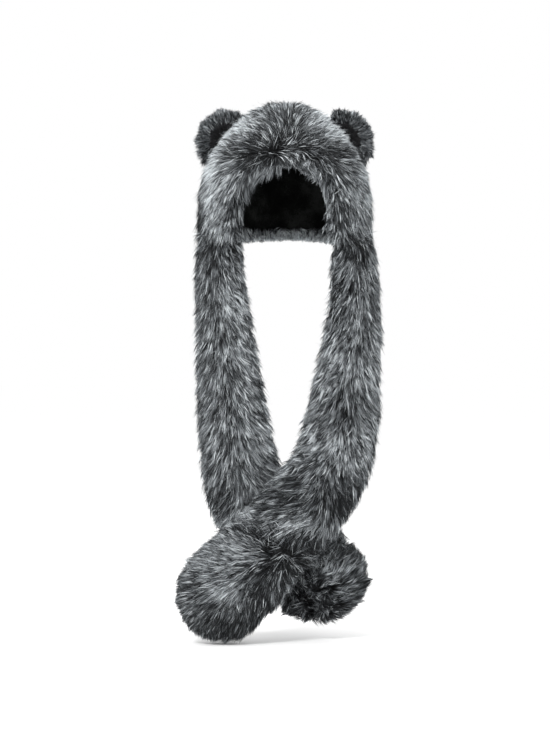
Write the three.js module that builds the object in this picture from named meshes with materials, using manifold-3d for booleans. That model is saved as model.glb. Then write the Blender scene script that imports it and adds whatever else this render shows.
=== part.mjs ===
// Animal hood scarf with bear ears: a deep-pile fur hood with a smooth dark lining, two long fur
// scarf arms that cross low in front, and a rounded fur paw on the end of each arm.
//
// Millimetres, +Z up. The hood faces -Y, so the wearer's left is +X. The origin is the inside top
// of the lining, where the crown of a head carries the hood. Every fur solid has its pile modelled
// as rows of overlapping locks: each row rises from its roots to its tips and steps back in.

import * as THREE from 'three';
import { mergeVertices } from 'three/addons/utils/BufferGeometryUtils.js';
import Module from 'manifold-3d';

const wasm = await Module();
wasm.setup();

// Driving dimensions, in millimetres unless a name says otherwise.

const GAP = 0.3;

const LINING_WALL = 2;
const PILE = 28;
const HOOD_WIDTH = 300;
const HOOD_FRONT = 130;
const HOOD_BACK = 136;
const CROWN_RISE = 180;
const PLAN_POWER = 2.15;
const DOME_POWER = 1.95;
const HEM_DROP = 206;
const BACK_SEAM_TOP = 62;
const BACK_SEAM_BULGE = 0.92;
const SIDE_ARCH_SHARE = 0.78;

const FACE_WIDTH = 152;
const FACE_TOP_DROP = 86;
const FACE_ARCH_HEIGHT = 66;
const FACE_ARCH_SHARE = 0.66;
const FACE_ARCH_POWER = 0.9;
const RIM_ROLL = 13;
const BANG_REACH = 12;
const HEM_TUFT = 15;
const SHORT_HEM_TUFT = 0.45;
const RIM_SETBACK = 0.42;

const HOOD_LOCK_ROWS = 8;
const HOOD_LOCK_COLUMNS = 16;
const LOCK_DEPTH = 8;
const LOCK_REACH = 6;
const LOCK_OVERHANG = 2.5;
const LOCK_VARIATION = 0.33;

const EAR_RADIUS = 51;
const EAR_THICK = 34;
const EAR_INSET = 46;
const EAR_DROP = 35;
const EAR_FORWARD = 14;
const EAR_YAW_DEGREES = 12;
const EAR_TUFT = 5;
const EAR_COLUMNS = 18;

const SCARF_DROP = 550;
const SCARF_WIDTH = 148;
const SCARF_THICK = 50;
const SCARF_BOW = 14;
const SCARF_TURN_DEGREES = 50;
const CROSSING_DEPTH = 77;
const CROSSING_CLEARANCE = 12;
const SCARF_LOCK_ROWS = 19;
const SECTION_POWER = 0.86;
const TUBE_COLUMNS = 24;

const PAW_LENGTH = 182;
const PAW_WIDTH = 168;
const PAW_THICK = 76;
const PAW_LOCK_ROWS = 6;

// Where each arm hangs from the hood's edge. down is a share of SCARF_DROP, out of half of
// HOOD_WIDTH, front of HOOD_FRONT, width and thick of SCARF_WIDTH and SCARF_THICK, and turn of
// SCARF_TURN_DEGREES.
const HANGING_LEFT = [
  { down: 0.0, out: 0.83, front: 0.49, width: 0.72, thick: 0.76, turn: 1.0 },
  { down: 0.15, out: 0.86, front: 0.51, width: 0.76, thick: 0.82, turn: 0.88 },
  { down: 0.31, out: 0.83, front: 0.53, width: 0.83, thick: 0.88, turn: 0.74 },
  { down: 0.455, out: 0.745, front: 0.55, width: 0.87, thick: 0.94, turn: 0.56 },
  { down: 0.6, out: 0.675, front: 0.58, width: 0.92, thick: 1.0, turn: 0.36 },
];
const HANGING_RIGHT = [
  { down: 0.0, out: 0.81, front: 0.49, width: 0.77, thick: 0.76, turn: 1.0 },
  { down: 0.15, out: 0.8, front: 0.51, width: 0.79, thick: 0.82, turn: 0.88 },
  { down: 0.31, out: 0.735, front: 0.53, width: 0.83, thick: 0.88, turn: 0.74 },
  { down: 0.455, out: 0.68, front: 0.55, width: 0.85, thick: 0.94, turn: 0.56 },
  { down: 0.6, out: 0.605, front: 0.58, width: 0.89, thick: 1.0, turn: 0.36 },
];

// Where the arms cross, the left one in front. out is a share of SCARF_WIDTH, negative past the
// middle, and apart is how far the arm has moved to its own side of the crossing.
const CROSSING_LEFT = [
  { down: 0.735, out: 0.545, apart: 0.75, width: 0.95, thick: 1.0, turn: 0.16 },
  { down: 0.85, out: 0.25, apart: 1.0, width: 1.0, thick: 1.0, turn: 0.0 },
  { down: 0.93, out: 0.0, apart: 1.0, width: 1.0, thick: 1.0, turn: 0.0 },
  { down: 1.0, out: -0.245, apart: 1.0, width: 1.0, thick: 1.0, turn: 0.0 },
];
const CROSSING_RIGHT = [
  { down: 0.735, out: 0.535, apart: 0.75, width: 0.94, thick: 1.0, turn: 0.16 },
  { down: 0.838, out: 0.44, apart: 1.0, width: 0.98, thick: 1.0, turn: 0.0 },
  { down: 0.892, out: 0.265, apart: 1.0, width: 1.0, thick: 1.0, turn: 0.0 },
  { down: 0.955, out: 0.045, apart: 1.0, width: 1.0, thick: 1.0, turn: 0.0 },
];

// The paw's outline along its axis, as shares of PAW_LENGTH, and of the way from the scarf's end
// section, 0, to the paw's full width and thickness, 1. close narrows the rounded toe.
const PAW_OUTLINE = [
  { along: 0.0, swell: 0.0, close: 1.0 },
  { along: 0.18, swell: 0.42, close: 1.0 },
  { along: 0.38, swell: 0.95, close: 1.0 },
  { along: 0.58, swell: 1.0, close: 0.98 },
  { along: 0.76, swell: 1.0, close: 0.88 },
  { along: 0.9, swell: 1.0, close: 0.66 },
  { along: 0.98, swell: 1.0, close: 0.34 },
];

// An ear's half section from the middle of its back to the middle of its front recess. radius is a
// share of EAR_RADIUS and front a share of half of EAR_THICK; tuft marks the jagged fur rim.
const EAR_SECTION = [
  { radius: 0.5, front: -0.94, tuft: 0 },
  { radius: 0.84, front: -0.66, tuft: 0 },
  { radius: 1.0, front: -0.1, tuft: 1 },
  { radius: 0.92, front: 0.52, tuft: 0.6 },
  { radius: 0.76, front: 0.84, tuft: 0 },
  { radius: 0.62, front: 0.6, tuft: 0 },
];
const EAR_BACK = -1;
const EAR_RECESS = 0.34;
const PAD_EDGE = 0.94;
const PAD_CROWN = 0.62;
const PAD_SWELL = 0.2;
const PAD_TOP = 0.24;
const PAD_CLEARANCE = 1.6 * GAP;

const FUR_COLOUR = 0x6d7072;
const EAR_FUR_COLOUR = 0x5a5d5f;
const DARK_PILE_COLOUR = 0x1c1d1f;
const LINING_COLOUR = 0x17181a;

const HEM_Z = -HEM_DROP;
const CROWN_Z = LINING_WALL + PILE;
const WIDEST_Z = CROWN_Z - CROWN_RISE;
const EAR_SPREAD = HOOD_WIDTH / 2 - EAR_INSET;
const FUR_INSIDE = PILE - GAP;
const FACE_SPRING_Z = -FACE_TOP_DROP - FACE_ARCH_HEIGHT;

const lerp = THREE.MathUtils.lerp;
const UP = new THREE.Vector3(0, 0, 1);

// Collects triangles, welds their corners and returns a closed geometry that faces out.
class Faces {
  constructor() {
    this.corners = [];
  }

  triangle(a, b, c) {
    this.corners.push(a, b, c);
  }

  quad(a, b, c, d) {
    this.triangle(a, b, c);
    this.triangle(a, c, d);
  }

  // Rows of points, each row as long as the next. around closes every row on itself, and flip
  // turns the faces over without moving their diagonals, so that two parallel walls stay parallel.
  grid(rows, { around = false, flip = false } = {}) {
    for (let r = 0; r + 1 < rows.length; r++) {
      const last = rows[r].length - (around ? 0 : 1);
      for (let c = 0; c < last; c++) {
        const next = (c + 1) % rows[r].length;
        const [a, b, far, d] = [rows[r][c], rows[r][next], rows[r + 1][next], rows[r + 1][c]];
        if (flip) this.quad(a, d, far, b);
        else this.quad(a, b, far, d);
      }
    }
  }

  fan(ring, middle, flip) {
    ring.forEach((point, i) => {
      const next = ring[(i + 1) % ring.length];
      if (flip) this.triangle(next, point, middle);
      else this.triangle(point, next, middle);
    });
  }

  geometry() {
    const loose = new THREE.BufferGeometry().setFromPoints(this.corners);
    const welded = mergeVertices(loose, 1e-3);
    const at = welded.index.array;
    const kept = [];
    for (let i = 0; i < at.length; i += 3) {
      const [a, b, c] = [at[i], at[i + 1], at[i + 2]];
      if (a !== b && b !== c && c !== a) kept.push(a, b, c);
    }
    welded.setIndex(kept);
    return facingOut(welded);
  }
}

function signedVolume(geometry) {
  const position = geometry.getAttribute('position');
  const at = geometry.index.array;
  const [a, b, c] = [new THREE.Vector3(), new THREE.Vector3(), new THREE.Vector3()];
  let six = 0;
  for (let i = 0; i < at.length; i += 3) {
    a.fromBufferAttribute(position, at[i]);
    b.fromBufferAttribute(position, at[i + 1]);
    c.fromBufferAttribute(position, at[i + 2]);
    six += a.dot(b.cross(c));
  }
  return six / 6;
}

function facingOut(geometry) {
  if (signedVolume(geometry) < 0) {
    const at = Array.from(geometry.index.array);
    for (let i = 0; i < at.length; i += 3) [at[i], at[i + 1]] = [at[i + 1], at[i]];
    geometry.setIndex(at);
  }
  return geometry;
}

// A small repeatable variation between -1 and 1, so that locks aren't all alike.
function uneven(i, j) {
  return Math.sin(i * 12.9898 + j * 4.1414) * 0.5 + Math.sin(i * 3.7 - j * 7.3) * 0.5;
}

// The hood's dome, taken in by inset all round: a rounded top over straight sides.
function dome(inset) {
  return {
    half: HOOD_WIDTH / 2 - inset,
    front: HOOD_FRONT - inset,
    back: HOOD_BACK - inset,
    rise: CROWN_RISE - inset,
  };
}

function planRadius(x, y, size) {
  const deep = y < 0 ? size.front : size.back;
  return (Math.abs(x / size.half) ** PLAN_POWER + Math.abs(y / deep) ** PLAN_POWER) ** (1 / PLAN_POWER);
}

// Moves a point, given from the middle of the dome's widest level, onto the dome.
function ontoDome(p, size) {
  const plan = planRadius(p.x, p.y, size);
  if (p.z <= 0) return new THREE.Vector3(p.x / plan, p.y / plan, p.z);
  const all = (plan ** DOME_POWER + (p.z / size.rise) ** DOME_POWER) ** (1 / DOME_POWER);
  return p.clone().divideScalar(all);
}

// The outline of the face opening from the crown line, 0, to the hem, 1, grown by grow all round.
function faceOutline(share, grow) {
  const half = FACE_WIDTH / 2 + grow;
  if (share > FACE_ARCH_SHARE) {
    const down = (share - FACE_ARCH_SHARE) / (1 - FACE_ARCH_SHARE);
    return { x: half, z: lerp(FACE_SPRING_Z, HEM_Z, down) };
  }
  const angle = (share / FACE_ARCH_SHARE) * (Math.PI / 2);
  return {
    x: half * Math.sin(angle) ** FACE_ARCH_POWER,
    z: FACE_SPRING_Z + (FACE_ARCH_HEIGHT + grow) * Math.cos(angle) ** FACE_ARCH_POWER,
  };
}

function faceEdge(side, share, grow, size) {
  const { x, z } = faceOutline(share, grow);
  const level = Math.max(0, (z - WIDEST_Z) / size.rise);
  const plan = (1 - level ** DOME_POWER) ** (1 / DOME_POWER);
  const y = -size.front * (plan ** PLAN_POWER - (x / size.half) ** PLAN_POWER) ** (1 / PLAN_POWER);
  return new THREE.Vector3(side * x, y, z - WIDEST_Z);
}

function sideArch(side, share, size) {
  if (share > SIDE_ARCH_SHARE) {
    const down = (share - SIDE_ARCH_SHARE) / (1 - SIDE_ARCH_SHARE);
    const drop = lerp(0, HEM_Z - WIDEST_Z, down);
    return new THREE.Vector3(side * size.half, 0, drop);
  }
  const angle = (share / SIDE_ARCH_SHARE) * (Math.PI / 2);
  return new THREE.Vector3(side * size.half * Math.sin(angle), 0, size.rise * Math.cos(angle));
}

function backSeam(share, size) {
  const top = new THREE.Vector3(0, size.back * BACK_SEAM_BULGE, CROWN_Z - BACK_SEAM_TOP - WIDEST_Z);
  const hem = new THREE.Vector3(0, size.back, HEM_Z - WIDEST_Z);
  return top.lerp(hem, share);
}

// A point of the hood. along runs from the face edge, 0, over the side arch to the back seam, 1,
// and share from the crown line, 0, down the given side to the hem, 1.
function hoodPoint(along, side, share, inset) {
  const size = dome(inset);
  const face = faceEdge(side, share, RIM_ROLL, size);
  const arch = sideArch(side, share, size);
  const seam = backSeam(share, size);
  const bend = arch.clone().multiplyScalar(2).addScaledVector(face, -0.5).addScaledVector(seam, -0.5);
  const p = face.multiplyScalar((1 - along) ** 2);
  p.addScaledVector(bend, 2 * along * (1 - along)).addScaledVector(seam, along ** 2);
  const placed = ontoDome(p, size);
  placed.z += WIDEST_Z;
  return placed;
}

// The lines that run from the face to the back: two for each row of locks, its tips and the roots
// of the next row, and one down the crown. step moves a tip line past the root line under it.
function hoodLines() {
  const lines = [{ share: 0, deep: 0.2, jag: 0, step: 0 }];
  for (let row = 1; row < HOOD_LOCK_ROWS; row++) {
    const share = row / HOOD_LOCK_ROWS;
    const turn = row % 2 ? 1 : -1;
    lines.push({ share, deep: 0, jag: turn, step: 1 });
    lines.push({ share, deep: 1, jag: turn * 0.7, step: -1 });
  }
  lines.push({ share: 1, deep: 0, jag: 0, step: 0 });
  const mirrored = lines.slice(1).reverse().map((line) => ({ ...line, side: -1 }));
  return [...mirrored, ...lines.map((line) => ({ ...line, side: 1 }))];
}

const HOOD_LINES = hoodLines();
const HOOD_LINE_LENGTH = HEM_DROP + HOOD_WIDTH / 2;

// Where a line runs at a column. The locks overhang only between the face edge and the back seam.
function lineShare(line, column, withLocks) {
  const step = (line.step * LOCK_OVERHANG) / HOOD_LINE_LENGTH;
  if (!withLocks || column === 0 || column === HOOD_LOCK_COLUMNS) return line.share - step;
  const turn = column % 2 ? 1 : -1;
  const size = 1 + LOCK_VARIATION * uneven(column, Math.round(line.share * HOOD_LOCK_ROWS));
  return line.share + step + (line.jag * turn * size * LOCK_REACH) / HOOD_LINE_LENGTH;
}

// One surface of the hood as rows of points from the face to the back, crossing all lines.
function hoodSurface(inset, withLocks) {
  const rows = [];
  for (let column = 0; column <= HOOD_LOCK_COLUMNS; column++) {
    const along = column / HOOD_LOCK_COLUMNS;
    rows.push(
      HOOD_LINES.map((line) => {
        const depth = withLocks ? inset + line.deep * LOCK_DEPTH : inset;
        return hoodPoint(along, line.side, lineShare(line, column, withLocks), depth);
      }),
    );
  }
  return rows;
}

// The fur's rolled front edge, with tufts that hang over the face opening.
function rimTufts(outer, inner) {
  return HOOD_LINES.map((line, i) => {
    const reach = i % 2 ? BANG_REACH : -RIM_ROLL / 3;
    const grow = line.share === 1 ? 0 : -reach * (1 + LOCK_VARIATION * uneven(i, 0));
    const tuft = faceOutline(lineShare(line, 0, false), grow);
    const middle = outer[i].clone().lerp(inner[i], RIM_SETBACK);
    return new THREE.Vector3(line.side * tuft.x, middle.y, tuft.z);
  });
}

function hemTufts(outer, column) {
  const behind = THREE.MathUtils.smoothstep(column / HOOD_LOCK_COLUMNS, 0.5, 0.72);
  const reach = column % 2 ? 1 : SHORT_HEM_TUFT;
  return outer.clone().addScaledVector(UP, -HEM_TUFT * behind * reach);
}

// Closes a hood surface's two lower edges between its outside and its inside.
function closeHems(faces, outer, inner) {
  const last = HOOD_LINES.length - 1;
  faces.grid([outer.map((row) => row[last]), inner.map((row) => row[last])]);
  faces.grid([inner.map((row) => row[0]), outer.map((row) => row[0])]);
}

function hoodFur() {
  const outer = hoodSurface(0, true);
  const inner = hoodSurface(FUR_INSIDE, false);
  const last = HOOD_LINES.length - 1;
  outer.forEach((row, column) => {
    for (const end of [0, last]) row[end] = hemTufts(row[end], column);
  });
  const rim = rimTufts(outer[0], inner[0]);
  const faces = new Faces();
  faces.grid(outer, { flip: true });
  faces.grid([outer[0], rim, inner[0]]);
  faces.grid(inner);
  closeHems(faces, outer, inner);
  faces.triangle(outer[0][last], inner[0][last], rim[last]);
  faces.triangle(outer[0][0], rim[0], inner[0][0]);
  return faces.geometry();
}

function hoodLining() {
  const outer = hoodSurface(PILE, false);
  const inner = hoodSurface(PILE + LINING_WALL, false);
  const faces = new Faces();
  faces.grid(outer, { flip: true });
  faces.grid([outer[0], inner[0]]);
  faces.grid(inner);
  closeHems(faces, outer, inner);
  return faces.geometry();
}

// Values of a table's columns at a share of the way from its first row to its last.
function smoothTable(points) {
  return new THREE.CatmullRomCurve3(points, false, 'catmullrom', 0.5);
}

// The rounded section of an arm or paw, as a point at the given angle round it.
function sectionPoint(frame, angle, lift) {
  const round = (value) => Math.sign(value) * Math.abs(value) ** SECTION_POWER;
  const across = round(Math.cos(angle));
  const through = round(Math.sin(angle));
  const bow = -frame.bow * across * across;
  return frame.middle
    .clone()
    .addScaledVector(frame.across, across * (frame.width / 2 + lift))
    .addScaledVector(frame.facing, through * (frame.thick / 2 + lift) + bow);
}

function makeFrame(middle, heading, facing, width, thick, bow) {
  const out = facing.clone().addScaledVector(heading, -facing.dot(heading)).normalize();
  const across = new THREE.Vector3().crossVectors(out, heading).normalize();
  return { middle, heading, facing: out, across, width, thick, bow };
}

// Rings of points round an arm or paw, two for each row of locks. frameAt gives the section at a
// share of the length.
function lockRings(frameAt, rows, length) {
  const ring = (share, lift, jag, row) => {
    const points = [];
    for (let column = 0; column < TUBE_COLUMNS; column++) {
      const turn = (column + row) % 2 ? 1 : -1;
      const size = 1 + LOCK_VARIATION * uneven(column, row);
      const place = share + (jag * turn * size * LOCK_REACH) / length;
      points.push(sectionPoint(frameAt(place), (column / TUBE_COLUMNS) * 2 * Math.PI, lift));
    }
    return points;
  };
  const rings = [ring(0, -LOCK_DEPTH / 2, 0, 0)];
  for (let row = 1; row < rows; row++) {
    const share = row / rows;
    rings.push(ring(share, 0, 1, row));
    rings.push(ring(share - LOCK_OVERHANG / length, -LOCK_DEPTH, 0.7, row));
  }
  return { rings, ring };
}

// side is 1 for the wearer's left, the arm that passes in front, and -1 for the right.
function scarfFrames(side, hanging, crossing) {
  const half = (SCARF_THICK + CROSSING_CLEARANCE) / 2;
  const places = [];
  const shapes = [];
  for (const row of hanging) {
    const out = side * row.out * (HOOD_WIDTH / 2);
    places.push(new THREE.Vector3(out, -row.front * HOOD_FRONT, HEM_Z - GAP - row.down * SCARF_DROP));
    shapes.push(new THREE.Vector3(row.width, row.thick, row.turn));
  }
  for (const row of crossing) {
    const out = side * row.out * SCARF_WIDTH;
    const deep = -CROSSING_DEPTH - side * row.apart * half;
    places.push(new THREE.Vector3(out, deep, HEM_Z - GAP - row.down * SCARF_DROP));
    shapes.push(new THREE.Vector3(row.width, row.thick, row.turn));
  }
  const path = smoothTable(places);
  const shape = smoothTable(shapes);
  return (share) => {
    const at = THREE.MathUtils.clamp(share, 0, 1);
    const size = shape.getPoint(at);
    const turn = side * size.z * THREE.MathUtils.degToRad(SCARF_TURN_DEGREES);
    const facing = new THREE.Vector3(Math.sin(turn), -Math.cos(turn), 0);
    const heading = at === 0 ? UP.clone().negate() : path.getTangent(at);
    const bow = SCARF_BOW * size.z;
    return makeFrame(
      path.getPoint(at), heading, facing, size.x * SCARF_WIDTH, size.y * SCARF_THICK, bow,
    );
  };
}

function scarfArm(frameAt) {
  const { rings, ring } = lockRings(frameAt, SCARF_LOCK_ROWS, SCARF_DROP);
  rings.push(ring(1, -LOCK_DEPTH / 2, 0, 0));
  const faces = new Faces();
  faces.grid(rings, { around: true });
  faces.fan(rings[0], frameAt(0).middle, true);
  faces.fan(rings[rings.length - 1], frameAt(1).middle, false);
  return faces.geometry();
}

function pawFrames(end) {
  const outline = smoothTable(
    PAW_OUTLINE.map((row) => new THREE.Vector3(row.along, row.swell, row.close)),
  );
  const start = end.middle.clone().addScaledVector(end.heading, GAP);
  return (share) => {
    const { x: along, y: swell, z: close } = outline.getPoint(THREE.MathUtils.clamp(share, 0, 1));
    const middle = start.clone().addScaledVector(end.heading, along * PAW_LENGTH);
    const width = lerp(end.width, PAW_WIDTH, swell) * close;
    const thick = lerp(end.thick, PAW_THICK, swell) * close;
    return makeFrame(middle, end.heading, end.facing, width, thick, end.bow);
  };
}

function paw(end) {
  const frameAt = pawFrames(end);
  const { rings, ring } = lockRings(frameAt, PAW_LOCK_ROWS, PAW_LENGTH);
  rings.push(ring(1, -LOCK_DEPTH / 2, 0, 0));
  const toe = end.middle.clone().addScaledVector(end.heading, GAP + PAW_LENGTH);
  const faces = new Faces();
  faces.grid(rings, { around: true });
  faces.fan(rings[0], frameAt(0).middle, true);
  faces.fan(rings[rings.length - 1], toe, false);
  return faces.geometry();
}

// Closed rings round an ear's axis, in the ear's own frame: x across, y back, z up.
function earRing(radius, front, tuft) {
  const points = [];
  for (let column = 0; column < EAR_COLUMNS; column++) {
    const angle = (column / EAR_COLUMNS) * 2 * Math.PI;
    const jag = tuft * EAR_TUFT * (column % 2 ? 0.5 : -0.5) * (1 + LOCK_VARIATION * uneven(column, 1));
    const reach = radius * EAR_RADIUS + jag;
    const deep = (-front * EAR_THICK) / 2;
    points.push(new THREE.Vector3(reach * Math.cos(angle), deep, reach * Math.sin(angle)));
  }
  return points;
}

function earCup() {
  const rings = EAR_SECTION.map((row) => earRing(row.radius, row.front, row.tuft));
  const faces = new Faces();
  faces.grid(rings, { around: true });
  faces.fan(rings[0], new THREE.Vector3(0, (-EAR_BACK * EAR_THICK) / 2, 0), true);
  faces.fan(rings[rings.length - 1], new THREE.Vector3(0, (-EAR_RECESS * EAR_THICK) / 2, 0), false);
  return faces.geometry();
}

// The dark pad lies in the cup's recess, a gap clear of its cone-shaped floor.
function earPad() {
  const edge = EAR_SECTION[EAR_SECTION.length - 1];
  const clear = (2 * PAD_CLEARANCE) / EAR_THICK;
  const outer = earRing(edge.radius * PAD_EDGE, edge.front + clear, 0);
  const crown = earRing(edge.radius * PAD_CROWN, edge.front + PAD_SWELL, 0);
  const faces = new Faces();
  faces.grid([outer, crown], { around: true });
  const floor = new THREE.Vector3(0, (-(EAR_RECESS + clear) * EAR_THICK) / 2, 0);
  const top = new THREE.Vector3(0, (-(edge.front + PAD_TOP) * EAR_THICK) / 2, 0);
  faces.fan(outer, floor, true);
  faces.fan(crown, top, false);
  return faces.geometry();
}

function solidOf(geometry) {
  const mesh = new wasm.Mesh({
    numProp: 3,
    vertProperties: new Float32Array(geometry.getAttribute('position').array),
    triVerts: new Uint32Array(geometry.index.array),
  });
  return new wasm.Manifold(mesh);
}

function geometryOf(solid) {
  const mesh = solid.getMesh();
  const geometry = new THREE.BufferGeometry();
  geometry.setAttribute('position', new THREE.BufferAttribute(mesh.vertProperties, 3));
  geometry.setIndex(Array.from(mesh.triVerts));
  return geometry;
}

// The hood's outside without its openings, a gap proud, which the ears are seated on.
function hoodEnvelope() {
  const levels = 24;
  const columns = 48;
  const size = dome(-GAP * 2);
  const rings = [];
  for (let level = 1; level <= levels; level++) {
    const angle = (level / levels) * (Math.PI / 2);
    const ring = [];
    for (let column = 0; column < columns; column++) {
      const turn = (column / columns) * 2 * Math.PI;
      const direction = new THREE.Vector3(
        Math.sin(angle) * Math.cos(turn), Math.sin(angle) * Math.sin(turn), Math.cos(angle),
      );
      const placed = ontoDome(direction, size);
      if (level === levels) placed.z = 0;
      placed.z += WIDEST_Z;
      ring.push(placed);
    }
    rings.push(ring);
  }
  const hem = rings[rings.length - 1].map((p) => p.clone().setZ(HEM_Z));
  rings.push(hem);
  const faces = new Faces();
  faces.grid(rings, { around: true });
  faces.fan(rings[0], new THREE.Vector3(0, 0, WIDEST_Z + size.rise), true);
  faces.fan(hem, new THREE.Vector3(0, 0, HEM_Z), false);
  return faces.geometry();
}

function earPlace(side) {
  const yaw = side * THREE.MathUtils.degToRad(EAR_YAW_DEGREES);
  const place = new THREE.Matrix4().makeRotationZ(yaw);
  return place.setPosition(side * EAR_SPREAD, -EAR_FORWARD, -EAR_DROP);
}

function seatedEar(geometry, side, envelope) {
  const placed = geometry.clone().applyMatrix4(earPlace(side));
  return geometryOf(solidOf(placed).subtract(envelope));
}

function piece(name, geometry, color, roughness) {
  const material = new THREE.MeshStandardMaterial({ color, roughness, metalness: 0, flatShading: true });
  const mesh = new THREE.Mesh(geometry, material);
  mesh.name = name;
  return mesh;
}

function hood() {
  const group = new THREE.Group();
  group.add(piece('hood_lining', hoodLining(), LINING_COLOUR, 0.75));
  group.add(piece('hood_fur', hoodFur(), FUR_COLOUR, 0.95));
  return group;
}

function ears() {
  const group = new THREE.Group();
  const envelope = solidOf(hoodEnvelope());
  for (const [side, name] of [[1, 'left'], [-1, 'right']]) {
    group.add(piece(`ear_${name}`, seatedEar(earCup(), side, envelope), EAR_FUR_COLOUR, 0.95));
    group.add(piece(`ear_inner_${name}`, seatedEar(earPad(), side, envelope), DARK_PILE_COLOUR, 0.9));
  }
  return group;
}

function scarf(name, side, hanging, crossing) {
  const frameAt = scarfFrames(side, hanging, crossing);
  const group = new THREE.Group();
  group.add(piece(`scarf_${name}`, scarfArm(frameAt), FUR_COLOUR, 0.95));
  group.add(piece(`paw_${name}`, paw(frameAt(1)), FUR_COLOUR, 0.95));
  return group;
}

const hoodScarf = new THREE.Group();
hoodScarf.add(hood());
hoodScarf.add(ears());
hoodScarf.add(scarf('left', 1, HANGING_LEFT, CROSSING_LEFT));
hoodScarf.add(scarf('right', -1, HANGING_RIGHT, CROSSING_RIGHT));

export default hoodScarf;
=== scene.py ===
"""The looks of an animal hood scarf with bear ears, in deep grey faux fur.

Each furry piece is a dark backing skin, shrunk from its solid, with tens of thousands of fine tapered
strands grown from it along a flow field. The lining is a smooth black shell with soft folds.
"""

import math

import bpy
import numpy as np
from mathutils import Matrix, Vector
from mathutils.bvhtree import BVHTree
from mathutils.kdtree import KDTree


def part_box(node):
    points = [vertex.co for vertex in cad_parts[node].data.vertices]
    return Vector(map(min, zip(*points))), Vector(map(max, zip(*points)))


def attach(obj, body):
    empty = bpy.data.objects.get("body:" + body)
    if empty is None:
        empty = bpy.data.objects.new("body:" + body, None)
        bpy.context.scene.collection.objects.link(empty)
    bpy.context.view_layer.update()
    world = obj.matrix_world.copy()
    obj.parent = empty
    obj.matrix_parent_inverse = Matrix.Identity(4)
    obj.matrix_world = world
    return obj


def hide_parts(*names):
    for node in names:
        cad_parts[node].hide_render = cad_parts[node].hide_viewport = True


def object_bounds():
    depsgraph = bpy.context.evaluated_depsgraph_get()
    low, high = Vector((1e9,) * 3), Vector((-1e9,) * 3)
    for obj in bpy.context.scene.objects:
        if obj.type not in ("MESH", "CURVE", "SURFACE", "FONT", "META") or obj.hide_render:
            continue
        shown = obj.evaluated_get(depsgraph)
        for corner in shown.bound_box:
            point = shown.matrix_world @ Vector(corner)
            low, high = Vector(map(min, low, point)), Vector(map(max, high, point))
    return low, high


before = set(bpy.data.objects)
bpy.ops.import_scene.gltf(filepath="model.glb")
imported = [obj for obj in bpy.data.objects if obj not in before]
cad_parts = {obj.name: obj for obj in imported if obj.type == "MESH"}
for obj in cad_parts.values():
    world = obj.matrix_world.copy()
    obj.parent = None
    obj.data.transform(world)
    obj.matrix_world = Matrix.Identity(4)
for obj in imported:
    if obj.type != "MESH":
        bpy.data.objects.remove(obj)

CAD_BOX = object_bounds()
MM = 0.001

# The photograph's frame: its size, the pixel of the row's origin and the size of a pixel there.
PHOTO_WIDE, PHOTO_HIGH = 550, 733
ORIGIN_PIXEL = (285, 117)
PIXEL = 1.75 * MM

UP = np.array((0.0, 0.0, 1.0))
SEED = 20

# The seed of each random pattern in space.
PATTERN = dict(
    hood=3, hem=5, scarf=7, ear=11, folds=31, swell=33, rim=51, hem_edge=53,
    overhang=57, fringe=59, brow=61, tangle=71,
)

# Every strand's place in the colour chart: u is how pale it is, v runs from its root to its tip.
# The backing skin is in its darkest corner.
CHART = "OFBake"
STRAND_U_WIDTH = 0.008
ROOT_V, TIP_V = 0.02, 0.98
BACKING_UV = ((0.010, 0.010), (0.018, 0.010), (0.014, 0.018))


def pixel_point(px, py, y=0.0):
    """The row's point behind a pixel of the photograph, at a given depth."""
    return np.array(((px - ORIGIN_PIXEL[0]) * PIXEL, y, (ORIGIN_PIXEL[1] - py) * PIXEL))


def table(columns, rows):
    """A table as a dictionary for each row, by the names of its columns."""
    return [dict(zip(columns, row)) for row in rows]


def spot(points, place):
    """One at the middle of a place of the picture, falling to nought around it."""
    px = points[:, 0] / PIXEL + ORIGIN_PIXEL[0]
    py = ORIGIN_PIXEL[1] - points[:, 2] / PIXEL
    far = ((px - place["x"]) / place["wide"]) ** 2 + ((py - place["y"]) / place["high"]) ** 2
    return np.exp(-far)


# Small vector helpers on arrays of points

def unit(v):
    return v / np.maximum(np.linalg.norm(v, axis=-1, keepdims=True), 1e-9)


def dot(a, b):
    return (a * b).sum(-1, keepdims=True)


def along_surface(v, normals):
    return unit(v - normals * dot(v, normals))


def smoothstep(x, low, high):
    t = np.clip((x - low) / (high - low), 0.0, 1.0)
    return t * t * (3 - 2 * t)


def facing_front(normals, low=-0.3, high=0.6):
    """One on skin that faces the front, falling to nought behind."""
    return smoothstep(-normals[:, 1], low, high)


def lattice(ix, iy, iz, seed):
    """A repeatable random number from 0 to 1 for each whole-number cell."""
    h = ix * 374761393 + iy * 668265263 + iz * 2147483647 + seed * 1274126177
    h = (h ^ (h >> 13)) * 1274126177
    h = h ^ (h >> 16)
    return (h & 0xFFFF) / 65535.0


def noise(points, size, seed):
    """Smooth value noise from 0 to 1 with cells of the given size."""
    p = points / size
    cell = np.floor(p).astype(np.int64)
    f = p - cell
    f = f * f * (3 - 2 * f)
    total = np.zeros(len(points))
    for corner in np.ndindex(2, 2, 2):
        wx, wy, wz = (f[:, k] if corner[k] else 1 - f[:, k] for k in range(3))
        total += wx * wy * wz * lattice(*(cell[:, k] + corner[k] for k in range(3)), seed)
    return total


def swirl(points, size, seed):
    """A smooth random direction at each point, each part of it from -0.5 to 0.5."""
    return np.stack([noise(points, size, seed + k) - 0.5 for k in range(3)], axis=1)


# Meshes as arrays

def read(items, name, kind):
    """A property of a mesh's items, as rows of three."""
    values = np.zeros(len(items) * 3, kind)
    items.foreach_get(name, values)
    return values.reshape(-1, 3)


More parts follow.
